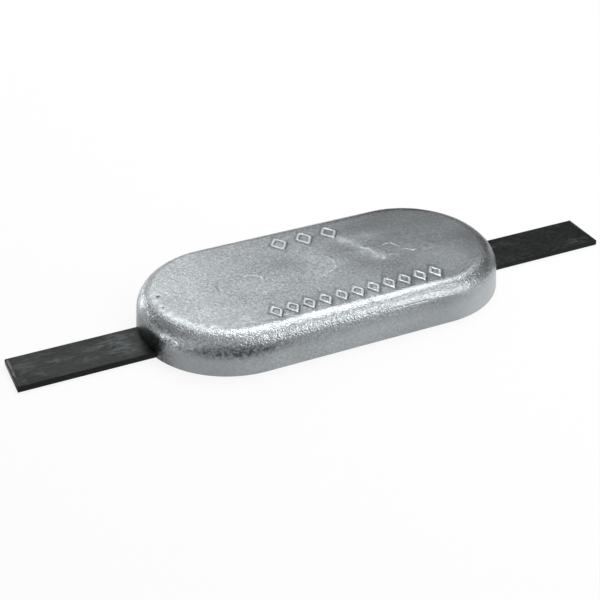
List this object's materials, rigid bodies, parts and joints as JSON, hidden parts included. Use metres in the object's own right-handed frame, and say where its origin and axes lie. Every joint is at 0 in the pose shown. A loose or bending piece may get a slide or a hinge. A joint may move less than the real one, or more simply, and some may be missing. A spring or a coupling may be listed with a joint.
{
  "type": "sacrificial anode",
  "caption": "Weld-on hull anode: a rounded zinc slab cast round one flat steel bar that stands out at both ends for welding to the hull.",
  "frame": {"origin": "middle of the anode's flat back, level with the bar's underside", "axes": "+X along the bar, +Y across the slab, away from the side the bar is nearer to, +Z out of the flat back towards the rounded moulded face"},
  "size_m": [0.518, 0.152, 0.0335],
  "materials": {
    "cast_zinc": "satin",
    "black_steel": "matte"
  },
  "bodies": {
    "root": {"zinc_casting": "cast_zinc", "steel_bar": "black_steel"}
  },
  "joints": []
}
